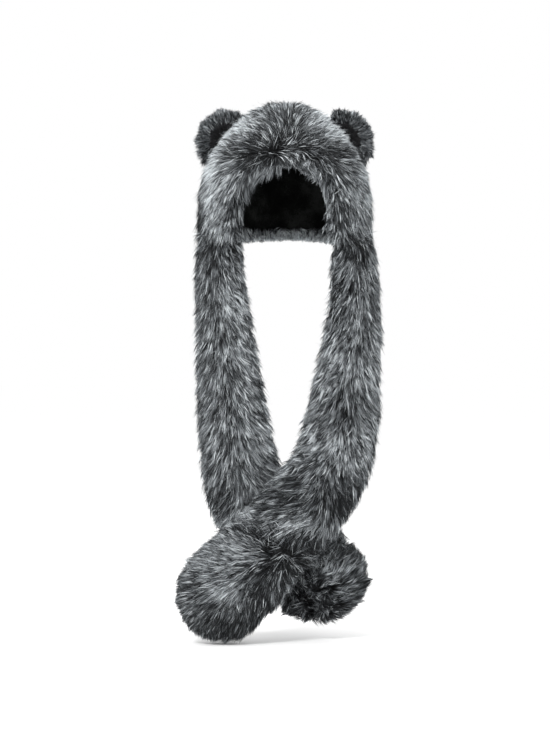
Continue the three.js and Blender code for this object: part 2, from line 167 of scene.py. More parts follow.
def arrays_of(mesh):
    """A mesh's points, its normals there and its triangles."""
    mesh.calc_loop_triangles()
    points = read(mesh.vertices, "co", np.float32).astype(float)
    normals = read(mesh.vertices, "normal", np.float32).astype(float)
    return points, normals, read(mesh.loop_triangles, "vertices", np.int32)


def node_arrays(node):
    return arrays_of(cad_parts[node].data)


def mesh_of(name, points, triangles):
    mesh = bpy.data.meshes.new(name)
    mesh.from_pydata([tuple(p) for p in points], [], [tuple(int(i) for i in t) for t in triangles])
    mesh.update()
    return mesh


def added(name, data):
    """A new object in the scene."""
    obj = bpy.data.objects.new(name, data)
    bpy.context.scene.collection.objects.link(obj)
    return obj


def evaluated(obj):
    graph = bpy.context.evaluated_depsgraph_get()
    graph.update()
    return bpy.data.meshes.new_from_object(obj.evaluated_get(graph))


def remeshed(nodes, voxel, rounds):
    """One smooth closed mesh over some nodes of the frame."""
    points, triangles, start = [], [], 0
    for node in nodes:
        p, _, t = node_arrays(node)
        points.append(p)
        triangles.append(t + start)
        start += len(p)
    raw = mesh_of("raw", np.concatenate(points), np.concatenate(triangles))
    obj = added("raw", raw)
    weld = obj.modifiers.new("weld", "WELD")
    weld.merge_threshold = 0.01 * MM
    remesh = obj.modifiers.new("remesh", "REMESH")
    remesh.mode = "VOXEL"
    remesh.voxel_size = voxel
    smooth = obj.modifiers.new("smooth", "SMOOTH")
    smooth.factor = 0.5
    smooth.iterations = rounds
    result = evaluated(obj)
    bpy.data.objects.remove(obj)
    bpy.data.meshes.remove(raw)
    return result


def sunk(mesh, depth, share):
    """A mesh's points moved in by a depth, or by a share of the wall there where that is less."""
    points, normals, triangles = arrays_of(mesh)
    tree = skin_tree(points, triangles)
    wall = np.full(len(points), np.inf)
    for i, (p, n) in enumerate(zip(points, normals)):
        hit = tree.ray_cast(Vector(p - n * 0.5 * MM), Vector(-n), 0.3)
        if hit[3] is not None:
            wall[i] = hit[3]
    move = np.minimum(depth, wall * share)
    return points - normals * move[:, None], normals, triangles


def scatter(points, normals, triangles, count, weigh, rng):
    """Random roots on a surface, with their normals. weigh says how thickly the pile grows."""
    a, b, c = (points[triangles[:, k]] for k in range(3))
    area = np.linalg.norm(np.cross(b - a, c - a), axis=1) / 2
    middle = (a + b + c) / 3
    facing = unit(normals[triangles].sum(1))
    chance = area * weigh(middle, facing)
    pick = rng.choice(len(triangles), count, p=chance / chance.sum())
    r = np.sqrt(rng.random((count, 1)))
    s = rng.random((count, 1))
    weights = np.concatenate((1 - r, r * (1 - s), r * s), axis=1)
    roots = (points[triangles[pick]] * weights[:, :, None]).sum(1)
    out = unit((normals[triangles[pick]] * weights[:, :, None]).sum(1))
    return roots, out


# The strands

ELBOW_SHARE = 0.45
HUG = 0.85

# The places along a strand before its tip, and its width there: a bent strand, and a straight hair.
BENT = ((0.0, 0.8), (0.56, 1.0))
STRAIGHT = ((0.0, 1.0),)

# How unlike the tufts and their strands are: lengths and widths as shares, lifts in degrees.
TUFT_LONG, STRAND_LONG = 0.14, 0.12
TUFT_LIFT, ROOT_LIFT, TIP_LIFT = 4.0, 5.0, 4.0
LONG_RANGE, WIDTH_RANGE, GATHER_RANGE = (0.6, 1.45), (0.7, 1.25), (0.55, 1.1)
ELBOW_GATHER = 0.3
TWIST = 0.75

# How a darker and a paler shade work on how many tufts are dark, and on every strand.
TUFTS_BY_DARKER, TUFTS_BY_PALER = 0.9, 0.5
STRAND_BY_DARKER, STRAND_BY_PALER = 0.45, 0.8

# The share of bright hairs and how much paler they are. Where a style is brighter, they are more and
# paler by these, and the other strands darker.
BRIGHT_SHARE, BRIGHT_HAIR = 0.13, 0.5
BRIGHTER_SHARE, BRIGHTER_HAIR, BRIGHTER_REST = 0.08, 0.6, 0.2

# How far a strand may reach past the solids' own box.
BOX_ROOM = np.array((8.0, 8.0, 10.0)) * MM


def shortened(strand_points, keep):
    """Strands drawn back towards their roots, each to a share of its length."""
    grown = strand_points.reshape(len(keep), -1, 3)
    roots = grown[:, :2].mean(1)[:, None]
    return (roots + (grown - roots) * keep[:, None, None]).reshape(-1, 3)


def within_box(roots, tips):
    """The share of each strand that stays inside the solids' box and its room."""
    span = tips - roots
    span = np.where(np.abs(span) < 1e-6, 1e-6, span)
    low, high = np.array(CAD_BOX[0]) - BOX_ROOM, np.array(CAD_BOX[1]) + BOX_ROOM
    room = (np.where(span > 0, high, low) - roots) / span
    return np.clip(room.min(1), 0.1, 1.0)


def skin_tree(points, triangles):
    return BVHTree.FromPolygons([Vector(p) for p in points], [tuple(t) for t in triangles.tolist()])


def hugged(points, heights, tree, share):
    """Points drawn to their height above the skin, so that long strands follow its curve."""
    placed = np.empty_like(points)
    for i, (p, height) in enumerate(zip(points, heights)):
        place, normal, _, _ = tree.find_nearest(Vector(p))
        placed[i] = place + normal * height
    return points + (placed - points) * share


def strands(roots, normals, flow, style, tree, rng):
    """Curved tapered strips from the roots along flow. Returns points, quads, triangles and uv.

    style gives each strand's length, lift from the skin at its root and at its tip in degrees,
    droop, width, paleness and shade, how tightly the strands gather into tufts of a given size, and
    how closely they hug the skin. Where the shade is dark, more of the tufts are dark ones, and the
    rest stay bright. brighter adds bright single hairs over a darker pile.
    """
    count = len(roots)
    tufts = max(8, count // style["tuft_of"])
    seeds = KDTree(tufts)
    for i in range(tufts):
        seeds.insert(Vector(roots[i]), i)
    seeds.balance()
    tuft = np.array([seeds.find(Vector(p))[1] for p in roots])

    def jitter(amount, size):
        return rng.normal(0.0, amount, (size, 3))

    tuft_turn = jitter(style["tuft_turn"], tufts)
    tuft_long = rng.normal(1.0, TUFT_LONG, tufts)
    tuft_pale = rng.normal(0.0, style["tuft_pale"], tufts)
    darker, paler = np.maximum(-style["shade"][:tufts], 0.0), np.maximum(style["shade"][:tufts], 0.0)
    likely_dark = style["dark_share"] + TUFTS_BY_DARKER * darker - TUFTS_BY_PALER * paler
    tuft_pale -= style["dark_drop"] * (rng.random(tufts) < likely_dark)
    tuft_lift = rng.normal(0.0, TUFT_LIFT, tufts)

    heading = along_surface(flow + tuft_turn[tuft] + jitter(style["strand_turn"], count), normals)
    long = np.clip(tuft_long[tuft] * rng.normal(1.0, STRAND_LONG, count), *LONG_RANGE)
    long = (long * style["length"])[:, None]
    lift0 = np.radians(style["lift"][0] + tuft_lift[tuft] + rng.normal(0.0, ROOT_LIFT, count))[:, None]
    lift1 = np.radians(style["lift"][1] + tuft_lift[tuft] + rng.normal(0.0, TIP_LIFT, count))[:, None]
    first = unit(np.cos(lift0) * heading + np.sin(lift0) * normals)
    second = unit(np.cos(lift1) * heading + np.sin(lift1) * normals - UP * style["droop"])
    elbow = roots + first * long * ELBOW_SHARE
    tips = elbow + second * long * (1 - ELBOW_SHARE)
    low = dot(elbow - roots, normals)[:, 0]
    high = dot(tips - roots, normals)[:, 0]
    share = style["hug"](tips)[:, None] if callable(style["hug"]) else style["hug"]
    elbow = hugged(elbow, low, tree, share)
    tips = hugged(tips, high, tree, share)

    # Strands of a tuft draw together towards the tip of the tuft's first strand.
    gather = style["gather"] * rng.uniform(*GATHER_RANGE, (count, 1))
    tips = tips + (tips[tuft] - tips) * gather
    elbow = elbow + (elbow[tuft] - elbow) * gather * ELBOW_GATHER

    shade = style["shade"] * np.where(style["shade"] < 0.0, STRAND_BY_DARKER, STRAND_BY_PALER)
    pale = style["pale"] + shade + tuft_pale[tuft] + rng.normal(0.0, style["strand_pale"], count)
    brighter = style.get("brighter", 0.0)
    bright = rng.random(count) < BRIGHT_SHARE + BRIGHTER_SHARE * brighter
    pale += np.where(bright, BRIGHT_HAIR * (1 + BRIGHTER_HAIR * brighter), -BRIGHTER_REST * brighter)
    return strips(roots, elbow, tips, normals, pale, style, rng)


def strips(roots, elbow, tips, normals, pale, style, rng):
    """Tapered strips through given roots, elbows and tips: their points, quads, triangles and uv."""
    count = len(roots)
    wide = style["width"] * rng.uniform(*WIDTH_RANGE, (count, 1))
    across = unit(np.cross(tips - roots, normals + rng.normal(0.0, TWIST, (count, 3))))
    stations = style.get("stations", BENT)
    points = []
    for t, w in stations:
        middle = roots * (1 - t) ** 2 + elbow * 2 * t * (1 - t) + tips * t * t
        points += [middle - across * wide * w / 2, middle + across * wide * w / 2]
    points.append(tips)
    points = np.stack(points, axis=1).reshape(-1, 3)
    points = shortened(points, within_box(roots, tips))

    each = 2 * len(stations) + 1
    first_point = np.arange(count)[:, None] * each
    triangles = first_point + np.array((each - 3, each - 2, each - 1))

    pale = np.clip(pale, 0.0, 1.0) * (1 - 3 * STRAND_U_WIDTH) + STRAND_U_WIDTH
    left, right = pale - STRAND_U_WIDTH / 2, pale + STRAND_U_WIDTH / 2
    last_v = max(stations[-1][0], ROOT_V)
    triangle_uv = np.zeros((count, 3, 2))
    triangle_uv[:, :, 0] = np.stack((left, right, pale), axis=1)
    triangle_uv[:, :, 1] = (last_v, last_v, TIP_V)
    if len(stations) == 1:
        return points, np.zeros((0, 4), int), triangles, np.zeros((0, 2)), triangle_uv.reshape(-1, 2)
    quads = first_point + np.array((0, 1, 3, 2))
    quad_uv = np.zeros((count, 4, 2))
    quad_uv[:, :, 0] = np.stack((left, right, right, left), axis=1)
    quad_uv[:, :, 1] = (ROOT_V, ROOT_V, last_v, last_v)
    return points, quads, triangles, quad_uv.reshape(-1, 2), triangle_uv.reshape(-1, 2)


# Fine single hairs over the tufts, which soften the outline.
HAIRS = dict(
    lift=(44, 26), width=0.5 * MM, gather=0.15, tuft_turn=0.3, strand_turn=0.25,
    strand_pale=0.14, dark_share=0.2, dark_drop=0.3, stations=STRAIGHT,
)


def fur_piece(name, backing, grown, material):
    """One mesh of a backing skin, (points, triangles), with its strands."""
    skin, faces = backing
    corners = np.tile(np.array(BACKING_UV), (len(faces), 1))
    parts = [(skin, np.zeros((0, 4), int), faces, np.zeros((0, 2)), corners), *grown]
    first = np.cumsum([0] + [len(part[0]) for part in parts])
    points = np.concatenate([part[0] for part in parts]).astype(np.float32)
    quads = np.concatenate([part[1] + start for part, start in zip(parts, first)])
    triangles = np.concatenate([part[2] + start for part, start in zip(parts, first)])
    flat_uv = np.concatenate([part[3] for part in parts] + [part[4] for part in parts])
    corners = np.concatenate((quads.ravel(), triangles.ravel())).astype(np.int32)
    sizes = np.concatenate((np.full(len(quads), 4), np.full(len(triangles), 3))).astype(np.int32)
    starts = np.concatenate(((0,), np.cumsum(sizes)[:-1])).astype(np.int32)
    mesh = bpy.data.meshes.new(name)
    mesh.vertices.add(len(points))
    mesh.vertices.foreach_set("co", points.ravel())
    mesh.loops.add(len(corners))
    mesh.loops.foreach_set("vertex_index", corners)
    mesh.polygons.add(len(sizes))
    mesh.polygons.foreach_set("loop_start", starts)
    mesh.polygons.foreach_set("loop_total", sizes)
    uv = mesh.uv_layers.new(name=CHART)
    uv.data.foreach_set("uv", flat_uv.astype(np.float32).ravel())
    mesh.polygons.foreach_set("use_smooth", np.ones(len(sizes), bool))
    mesh.update(calc_edges=True)
    mesh.validate()
    mesh.materials.append(material)
    return added(name, mesh)


def thinned(points, triangles, share):
    """A backing skin with fewer triangles, as points and triangles."""
    mesh = mesh_of("skin", points, triangles)
    obj = added("skin", mesh)
    fewer = obj.modifiers.new("fewer", "DECIMATE")
    fewer.ratio = share
    small = evaluated(obj)
    bpy.data.objects.remove(obj)
    p, _, t = arrays_of(small)
    return p, t


# Materials

def node_material(name):
    material = bpy.data.materials.new(name)
    material.use_nodes = True
    nodes, links = material.node_tree.nodes, material.node_tree.links
    return material, nodes, links, nodes["Principled BSDF"]


def put(node, values):
    """Sets a node's own inputs by their names."""
    for name, value in values.items():
        node.inputs[name].default_value = value


def ramp(nodes, links, source, stops):
    """A colour ramp over a 0 to 1 value, with grey or coloured stops."""
    node = nodes.new("ShaderNodeValToRGB")
    links.new(source, node.inputs["Fac"])
    elements = node.color_ramp.elements
    while len(elements) < len(stops):
        elements.new(0.5)
    for element, (place, colour) in zip(elements, stops):
        element.position = place
        element.color = (*colour, 1.0)
    return node.outputs["Color"]


# How much of its tip's colour a strand has: the place from its root to its tip, and the share.
ROOT_TO_TIP = ((0.0, 0.0), (0.2, 0.02), (0.42, 0.35), (0.62, 0.9), (1.0, 1.0))

GREY_U = 0.45


def fur_material(name, root, dark_tip, grey_tip, pale_tip, roughness):
    """Near-black roots that turn to a tip colour. How pale the tip is comes from the chart's u."""
    material, nodes, links, shader = node_material(name)
    chart = nodes.new("ShaderNodeUVMap")
    chart.uv_map = CHART
    axes = nodes.new("ShaderNodeSeparateXYZ")
    links.new(chart.outputs["UV"], axes.inputs[0])
    tip = ramp(nodes, links, axes.outputs["X"], [(0.0, dark_tip), (GREY_U, grey_tip), (1.0, pale_tip)])
    share = ramp(nodes, links, axes.outputs["Y"], [(place, (part,) * 3) for place, part in ROOT_TO_TIP])
    mix = nodes.new("ShaderNodeMix")
    mix.data_type = "RGBA"
    links.new(share, mix.inputs["Factor"])
    mix.inputs["A"].default_value = (*root, 1.0)
    links.new(tip, mix.inputs["B"])
    links.new(mix.outputs["Result"], shader.inputs["Base Color"])
    put(shader, {"Roughness": roughness, "Specular IOR Level": 0.2})
    return material


def lining_material():
    """Smooth black plush with a very fine nap and soft clouds."""
    material, nodes, links, shader = node_material("black_plush")
    place = nodes.new("ShaderNodeTexCoord")

    def clouds(scale, detail):
        node = nodes.new("ShaderNodeTexNoise")
        put(node, {"Scale": scale, "Detail": detail})
        links.new(place.outputs["Object"], node.inputs["Vector"])
        return node.outputs["Fac"]

    nap = clouds(scale=900.0, detail=3.0)
    broad = clouds(scale=22.0, detail=4.0)
    both = nodes.new("ShaderNodeMix")
    both.data_type = "FLOAT"
    both.inputs["Factor"].default_value = 0.6
    links.new(nap, both.inputs["A"])
    links.new(broad, both.inputs["B"])
    colour = ramp(
        nodes, links, both.outputs["Result"],
        [(0.43, (0.0003, 0.0004, 0.0003)), (0.5, (0.0022, 0.0025, 0.0023)), (0.6, (0.017, 0.018, 0.0172))],
    )
    links.new(colour, shader.inputs["Base Color"])
    bump = nodes.new("ShaderNodeBump")
    put(bump, {"Strength": 0.35, "Distance": 0.4 * MM})
    links.new(nap, bump.inputs["Height"])
    links.new(bump.outputs["Normal"], shader.inputs["Normal"])
    put(shader, {"Roughness": 0.8, "Specular IOR Level": 0.06})
    return material


FUR = fur_material(
    "grey_fur", root=(0.002, 0.002, 0.0024), dark_tip=(0.007, 0.008, 0.009),
    grey_tip=(0.196, 0.212, 0.225), pale_tip=(0.80, 0.85, 0.875), roughness=0.55,
)
DARK_PILE = fur_material(
    "dark_pile", root=(0.003, 0.003, 0.0035), dark_tip=(0.010, 0.010, 0.011),
    grey_tip=(0.022, 0.022, 0.024), pale_tip=(0.05, 0.05, 0.053), roughness=0.8,
)


# How pale the fur is, from the photograph

# Pale and dark patches of the fur's front: the pixel of the middle, the half width and half height
# in pixels, and how much paler. They hold the pile's own tone and painted light: the dark patches in
# the crease between the front arm and its paw, under the crossing arm and along the paws' lower rims
# are painted shade, and the pale patches on the crown's sides are partly painted highlight.
TONE_AND_PAINTED_LIGHT_PATCHES = table(("x", "y", "wide", "high", "paler"), [
    (236, 132, 20, 17, 0.34), (334, 131, 20, 17, 0.42), (220, 168, 9, 26, 0.26),
    (220, 210, 7, 26, 0.26), (204, 205, 7, 38, -0.5), (222, 238, 28, 12, -0.22),
    (352, 238, 24, 12, -0.18), (241, 205, 10, 30, -0.32), (260, 170, 18, 10, -0.26),
    (357, 165, 8, 20, 0.16), (336, 202, 10, 34, -0.22), (286, 126, 16, 22, -0.34),
    (289, 103, 32, 7, -0.32), (254, 151, 20, 9, -0.58), (288, 148, 16, 9, -0.42),
    (322, 151, 22, 9, -0.56), (288, 162, 36, 7, -0.2), (324, 170, 14, 13, -0.36),
    (213, 256, 12, 12, -0.16), (350, 404, 16, 20, -0.12), (230, 470, 14, 7, 0.2),
    (247, 488, 7, 16, 0.14), (225, 490, 10, 13, -0.45), (332, 442, 17, 18, 0.32),
    (288, 494, 26, 16, -0.3), (338, 492, 17, 20, -0.62), (302, 519, 20, 6, 0.55),
    (268, 536, 14, 7, -0.5), (310, 538, 20, 9, -0.5), (247, 529, 8, 7, -0.4),
    (236, 519, 9, 9, 0.5), (256, 514, 12, 6, 0.5), (286, 553, 20, 18, -0.5),
    (248, 552, 20, 8, 0.42), (222, 563, 16, 7, 0.3), (230, 584, 18, 8, 0.4),
    (264, 582, 17, 24, -0.36), (228, 614, 42, 18, -0.62), (184, 592, 11, 24, -0.2),
    (328, 574, 17, 6, 0.34), (334, 556, 24, 9, -0.36), (310, 606, 32, 17, -0.5),
    (358, 586, 13, 26, -0.32), (305, 572, 10, 14, -0.34),
])


def patch_tone_and_painted_light(points):
    """How much paler the front's patches make a strand at each point: tone, painted shade and highlight.
    """
    return sum(patch["paler"] * spot(points, patch) for patch in TONE_AND_PAINTED_LIGHT_PATCHES)


# Places of the front where the pile is combed another way, across and down the picture.
COMBED = table(("x", "y", "wide", "high", "across", "down", "force"), [
    (292, 499, 30, 20, -1.0, 0.0, 2.0),
    (300, 520, 24, 9, -1.0, 0.1, 3.0),
    (336, 500, 14, 18, 0.7, 0.8, 1.4),
    (246, 520, 13, 8, -0.7, -0.8, 2.2),
    (270, 531, 13, 8, -0.8, -0.5, 1.6),
])


def combed(points, flow, normals):
    """The flow with the combed places of the front worked in."""
    front = facing_front(normals, 0.0, 0.4)
    for place in COMBED:
        way = unit(np.array((place["across"], 0.0, -place["down"])))
        flow = flow + way * (place["force"] * front * spot(points, place))[:, None]
    return along_surface(flow, normals)


# The soft clouding of the pile: the size of its clouds, and how much paler and darker they are.
CLOUDS = ((45 * MM, 0.2), (18 * MM, 0.16))


def mottled(points, seed):
    """Soft clouding of the pile, about zero."""
    return sum(depth * (noise(points, size, seed + k) - 0.5) for k, (size, depth) in enumerate(CLOUDS))


# The hood

DOME_MIDDLE_Z = -0.15
BROW_LEFT = pixel_point(252, 151, -0.118)
BROW_RIGHT = pixel_point(330, 148, -0.114)
BROW_MIDDLE = pixel_point(289, 156, -0.128)
BROW_PIXEL = (289, 140)
BROW_WIDE, BROW_HIGH = 75 * MM, 16 * MM

# The pile is tangled along the brow, and parts to both sides above its middle.
BROW_SWIRL, BROW_TANGLE, BROW_STRAY = 11 * MM, 4.0, 0.5
PARTING_X = pixel_point(287, 0)[0]
PARTING_WIDE = 14 * MM
PARTING_ABOVE = (6 * MM, 24 * MM)
PARTING_FORCE = 0.9

# How much the pile hangs: at the top of the back, more at its bottom, and at the front's bottom.
HANG_TOP, HANG_LOW, HANG_FRONT = 0.35, 0.9, 1.6

# The face opening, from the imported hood: half its width, its arch's top and where the arch springs.
FACE_HALF = 76 * MM
FACE_TOP_Z = -86 * MM
FACE_SPRING_Z = -152 * MM
FACE_POWER = 2.2

# Pile in front of this plane may hang over the face opening, and behind it over the hem.
FRONT_Y = -20 * MM

# The hem curves up at the back: from what height, how much, and over how many FACE_HALF.
HEM_TURN_Z = -196 * MM
HEM_ARCH, HEM_ARCH_HALF = 0.85, 1.4


def from_dome_axis(points):
    """Directions out of the hood's dome: from its middle, or level from its axis lower down."""
    out = points.copy()
    out[:, 2] = np.maximum(points[:, 2] - DOME_MIDDLE_Z, 0.0)
    return unit(out)


def facing_out(points, normals):
    """One where the skin faces out of the hood's dome, minus one where it faces in."""
    return (normals * from_dome_axis(points)).sum(1)


def from_brow(points):
    """Directions away from the line of the brow, and a little away from its middle."""
    along = BROW_RIGHT - BROW_LEFT
    share = np.clip(((points - BROW_LEFT) @ along) / (along @ along), 0.0, 1.0)[:, None]
    nearest = BROW_LEFT + along * share
    return unit(unit(points - nearest) + 0.15 * unit(points - BROW_MIDDLE))


def at_brow(points):
    """One along the line of the brow, falling to nought around it."""
    return np.exp(-((points[:, 0] / BROW_WIDE) ** 2 + ((points[:, 2] - BROW_LEFT[2]) / BROW_HIGH) ** 2))


def hood_flow(points, normals, rng):
    """The pile radiates from the brow and the parting above it, and hangs more below it."""
    v = from_brow(points)
    start, full = (BROW_MIDDLE[2] + height for height in PARTING_ABOVE)
    above = smoothstep(points[:, 2], start, full)
    v[:, 0] += PARTING_FORCE * above * np.tanh((points[:, 0] - PARTING_X) / PARTING_WIDE)
    tangle = BROW_TANGLE * swirl(points, BROW_SWIRL, PATTERN["brow"])
    v += (tangle + rng.normal(0.0, BROW_STRAY, v.shape)) * at_brow(points)[:, None]
    front = smoothstep(-points[:, 1], -0.02, 0.07)
    low = smoothstep(-points[:, 2], 0.062, 0.15)
    behind = HANG_TOP + HANG_LOW * smoothstep(-points[:, 2], 0.0, 0.12)
    hang = (1 - front) * behind + front * HANG_FRONT * low
    return along_surface(v - UP * hang[:, None], normals)


def hem_raised(points):
    """The bottom of the back is drawn up a little, as the hem curves there."""
    raised = points.copy()
    low = (points[:, 1] > 0.0) & (points[:, 2] < HEM_TURN_Z)
    arch = 1.0 - HEM_ARCH * np.clip(HEM_ARCH_HALF - np.abs(points[:, 0]) / FACE_HALF, 0.0, 1.0)
    raised[low, 2] = HEM_TURN_Z + (points[low, 2] - HEM_TURN_Z) * arch[low]
    return raised


def into_face(points):
    """How far points reach into the face opening, in metres, seen from the front."""
    x = np.abs(points[:, 0]) / FACE_HALF
    above = np.maximum(points[:, 2] - FACE_SPRING_Z, 0.0) / (FACE_TOP_Z - FACE_SPRING_Z)
    radius = (x ** FACE_POWER + above ** FACE_POWER) ** (1 / FACE_POWER)
    return (1 - radius) * FACE_HALF


def hood_weight(points, normals):
    """The pile grows on the outside and the rims of the wall, and thickest on the front."""
    grows = smoothstep(facing_out(points, normals), -0.45, -0.05)
    return grows * (1.0 + 1.1 * facing_front(normals))


# The tufts that hang over the top of the face opening: the pixel of each tip, and how much paler.
BANGS = table(("x", "y", "paler"), [
    (249, 206, -0.15), (252, 198, -0.1), (254, 191, 0.0),
    (259, 186, -0.1), (263, 183, 0.0), (268, 184, 0.1),
    (272, 180, -0.1), (276, 180, 0.05), (280, 172, -0.1),
    (286, 169, 0.0), (293, 173, -0.08), (299, 172, -0.12),
    (305, 175, -0.05), (314, 176, 0.5), (317, 182, 0.0),
    (322, 188, -0.1), (325, 196, 0.0), (327, 206, -0.1),
])
BANG_LONG = 21
BANG_LONG_RANGE = (0.45, 1.05)
BANG_STRANDS = 36
BANG_STEEPER = 1.6
BANG_Y = -0.16
BANG_AHEAD, BANG_LIFT = 4 * MM, 6 * MM
BANG_PALE, BANG_PALE_SPREAD = 0.46, 0.13
BANG_DARK_SHARE, BANG_DARK_DROP = 0.48, 0.5

# The scatter of tufts' tips, and of strands' roots and tips: mean and spread in pixels, each way.
BANG_TUFT_SCATTER = ((0.0, 1.6), (-1.0, 1.6))
BANG_ROOT_SCATTER = ((0.0, 1.8), (0.0, 1.8))
BANG_TIP_SCATTER = ((0.0, 1.1), (-1.4, 2.4))

# How far the pile at the rim may reach into the face opening, and the size of its uneven places.
RIM_REACH, RIM_CLOUD = 4.5 * MM, 7 * MM

# The pile is longest at this place of the picture, and reaches further into the opening.
LONG_PILE = {"x": 266, "y": 168, "wide": 20, "high": 14}
LONG_PILE_MORE, LONG_PILE_REACH = 0.35, 6 * MM

# The lowest that the pile hangs at the hem, its unevenness, and how much lower it hangs at the sides.
HEM_LOW_Z = -202 * MM
HEM_CLOUD, HEM_UNEVEN, HEM_SIDE_LOWER = 5 * MM, 6 * MM, 6 * MM


def trimmed(strand_points, count):
    """Shortens the strands that would hang too far into the face opening or below the back hem."""
    grown = strand_points.reshape(count, -1, 3)
    roots = grown[:, :2].mean(1)
    tips = grown[:, -1]
    uneven = 0.1 + 1.8 * noise(roots, RIM_CLOUD, PATTERN["rim"])
    allowed = RIM_REACH * uneven + LONG_PILE_REACH * over_bangs(roots)
    inside, start = into_face(tips), into_face(roots)
    over = (tips[:, 1] < FRONT_Y) & (inside > allowed)
    keep = np.ones(len(tips))
    span = np.maximum(inside - start, 1 * MM)
    keep[over] = np.clip((allowed - start)[over] / span[over], 0.3, 1.0)
    lowest = HEM_LOW_Z - HEM_UNEVEN * noise(roots, HEM_CLOUD, PATTERN["hem_edge"])
    lowest = lowest - HEM_SIDE_LOWER * (roots[:, 0] / FACE_HALF) ** 2
    drop = np.maximum(roots[:, 2] - tips[:, 2], 1 * MM)
    under = (tips[:, 1] > FRONT_Y) & (tips[:, 2] < lowest)
    keep[under] = np.clip((roots[:, 2] - lowest)[under] / drop[under], 0.2, 1.0)
    return shortened(strand_points, keep)


def over_bangs(points):
    """One above the left half of the face opening, where the pile is longest, falling to nought."""
    return spot(points, LONG_PILE) * (points[:, 1] < 0.0)


def hug_hood(tips):
    """The strands follow the dome, but hang free over the face and at the hem."""
    free = smoothstep(into_face(tips), -12 * MM, 0.0) * (tips[:, 1] < FRONT_Y)
    low = smoothstep(-tips[:, 2], 185 * MM, 203 * MM)
    return HUG * (1 - np.maximum(free, low))


HOOD_STYLE = dict(
    length=30 * MM, lift=(42, 12), droop=0.06, width=1.15 * MM, gather=0.55,
    tuft_of=6, tuft_turn=0.24, strand_turn=0.1, tuft_pale=0.16, strand_pale=0.14,
    dark_share=0.48, dark_drop=0.55, hug=hug_hood, pale=0.6,
)


# The pile turned in at the back of the hem, with more set across its middle, on a strip in mm.
HEM_STYLE = dict(
    HOOD_STYLE, length=20 * MM, lift=(38, 26), droop=0.25, width=1.1 * MM, gather=0.5,
    tuft_turn=0.25, strand_turn=0.15, strand_pale=0.12, dark_share=0.4, dark_drop=0.5, hug=0.0,
)
# How pale the turned-in pile is at its top, and how much paler lower down: painted shade, the top darker
# where it lies in the shade inside the hood.
HEM_PALE, HEM_PAINTED_SHADE_STEP = 0.68, 0.35
HEM_ROLL_TOP_Z = -180 * MM
HEM_STRANDS, MIDDLE_HEM_STRANDS = 6600, 500
MIDDLE_HEM_HALF, MIDDLE_HEM_HIGH = 9, 20
MIDDLE_HEM_SIDE = 14 * MM

# Loose strands at the bottom of the hood's sides, which hang over the arms' tops and hide the seam.
# uneven is the least share of their length, how much more, and over what size.
OVERHANG_STYLE = dict(
    HOOD_STYLE, length=32 * MM, lift=(30, 6), tuft_turn=0.35, strand_turn=0.2,
    hug=0.0, pale=0.46, count=2600, way=(0.0, 0.0, -1.0), stray=0.3,
    uneven=(0.6, 0.9, 12 * MM), pattern="overhang",
)
OVERHANG_TOP_Z = -190 * MM

# A fringe at the viewer's right rim of the face opening, where the pile leans into the opening.
FRINGE_STYLE = dict(
    HOOD_STYLE, length=18 * MM, lift=(30, 12), gather=0.65, tuft_turn=0.3,
    strand_turn=0.16, hug=0.0, pale=0.5, count=1700, way=(-0.7, -0.2, -1.0),
    stray=0.2, uneven=(0.4, 1.1, 7 * MM), pattern="fringe",
)
FRINGE_DEEP, FRINGE_REACH = 6 * MM, 20 * MM
FRINGE_LEFT_X = 28 * MM


def below_sides(p, n):
    """Where the strands grow that hang over the arms."""
    return (facing_out(p, n) > 0.3) * (p[:, 2] < OVERHANG_TOP_Z) * (p[:, 1] < 0.0)


def along_rim(p, n):
    """Where the fringe grows along the rim of the face opening."""
    inside = into_face(p)
    near = (inside > -FRINGE_DEEP) * (inside < FRINGE_REACH) * (p[:, 1] < -60 * MM)
    return near * (p[:, 0] > FRINGE_LEFT_X) * facing_front(n, -0.3, 0.3)


def loose_strands(surface, tree, style, weigh, rng):
    """Strands of uneven length that all hang one way."""
    roots, facing = scatter(*surface, style["count"], weigh, rng)
    least, more, size = style["uneven"]
    uneven = least + more * noise(roots, size, PATTERN[style["pattern"]])
    flow = np.array(style["way"]) + rng.normal(0.0, style["stray"], roots.shape)
    style = dict(style, length=style["length"] * uneven, shade=mottled(roots, PATTERN["hood"]))
    return strands(roots, facing, flow, style, tree, rng)


